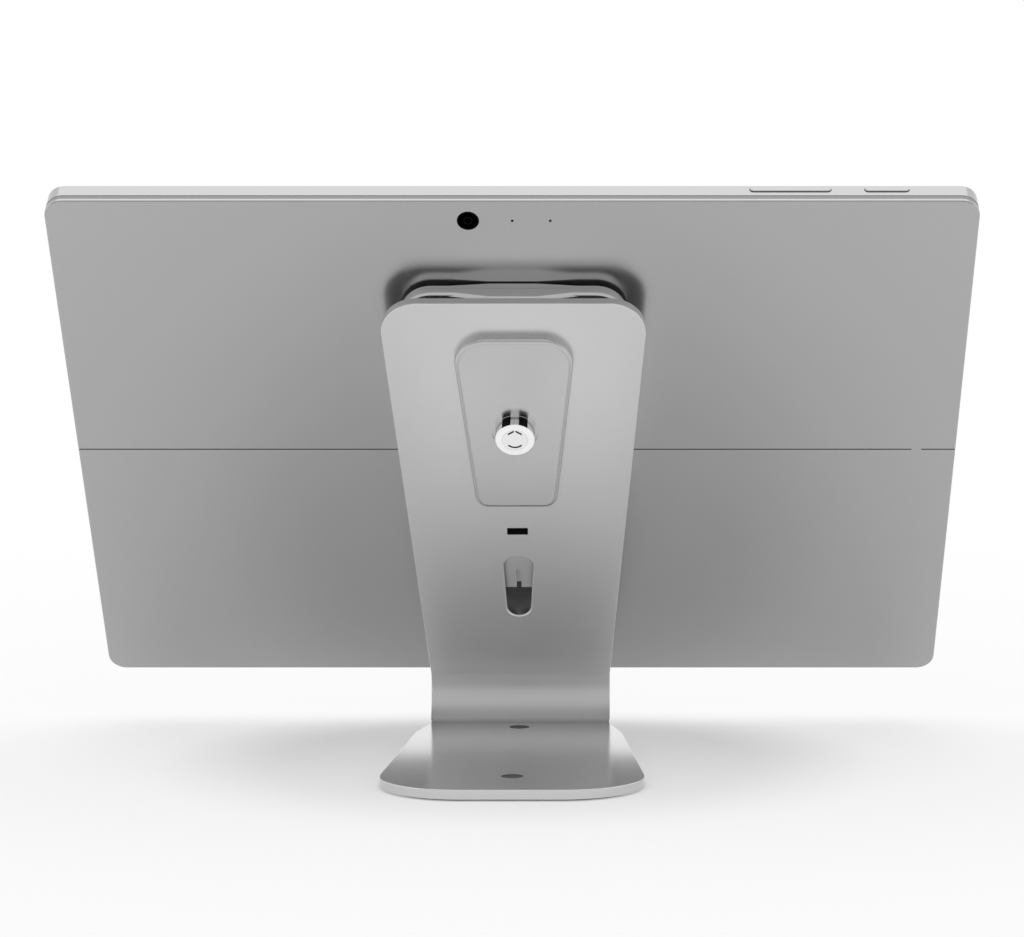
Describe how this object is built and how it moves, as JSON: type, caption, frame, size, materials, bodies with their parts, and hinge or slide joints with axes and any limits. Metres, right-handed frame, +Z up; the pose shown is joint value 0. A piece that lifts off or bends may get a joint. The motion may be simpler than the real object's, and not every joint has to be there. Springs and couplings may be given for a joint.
{
  "type": "tablet security kiosk stand",
  "caption": "Bent metal stand with a tapered upright and key lock, holding a locked tablet that leans back over its base.",
  "frame": {"origin": "underside of the base pad, halfway between the two base holes", "axes": "+Z up, -Y the way the screen faces, +Y the way the lock faces, X along the tablet's width"},
  "size_m": [0.2922, 0.1591, 0.1872],
  "materials": {
    "stand_silver": "satin anodised",
    "lock_chrome": "polished",
    "steel": "plain zinc plated",
    "pad_rubber": "matt",
    "bond_foam": "matt foam",
    "tablet_silver": "fine satin",
    "screen_glass": "gloss black",
    "lens_glass": "gloss black",
    "display_black": "gloss",
    "battery_grey": "matt",
    "board_green": "satin",
    "module_black": "matt",
    "socket_steel": "satin"
  },
  "bodies": {
    "stand": {"stand_plate": "stand_silver", "base_pad": "pad_rubber", "lock_housing": "stand_silver", "housing_dowels": "steel", "head_screws": "steel", "lock_barrel": "lock_chrome", "barrel_nut": "steel", "dock_head": "stand_silver", "tablet_plate": "stand_silver", "plate_studs": "steel", "lock_keeper": "steel", "keeper_rivets": "steel", "adhesive_pads": "bond_foam", "rear_shell": "tablet_silver", "kickstand": "tablet_silver", "kickstand_hinges": "steel", "cover_glass": "screen_glass", "display_panel": "display_black", "battery_cells": "battery_grey", "main_board": "board_green", "speakers": "module_black", "camera_lens": "lens_glass", "camera_module": "module_black", "front_camera": "module_black", "mic_inserts": "module_black", "rocker_pin": "steel", "button_bracket": "module_black", "charge_socket": "socket_steel", "headphone_jack": "socket_steel"},
    "lock_core": {"lock_plug": "lock_chrome", "lock_cam": "steel", "cam_screw": "steel"},
    "volume_rocker": {"volume_rocker": "tablet_silver"},
    "power_button": {"power_button": "tablet_silver"}
  },
  "joints": [
    {"name": "lock_turn", "type": "hinge", "parent": "stand", "child": "lock_core", "pos_m": [0, -0.00072, 0.11011], "axis": [0, -0.809, 0.5878], "range_deg": [0, 90]},
    {"name": "volume_rock", "type": "hinge", "parent": "stand", "child": "volume_rocker", "pos_m": [-0.08695, 0.03041, 0.18273], "axis": [0, 0.809, -0.5878], "range_deg": [-1.2, 1.2], "stiffness_Nm_per_rad": 0.5},
    {"name": "power_press", "type": "slide", "parent": "stand", "child": "power_button", "axis": [0, -0.5878, -0.809], "range_m": [0, 0.00035], "stiffness_N_per_m": 1500, "springref_m": -0.0004}
  ]
}
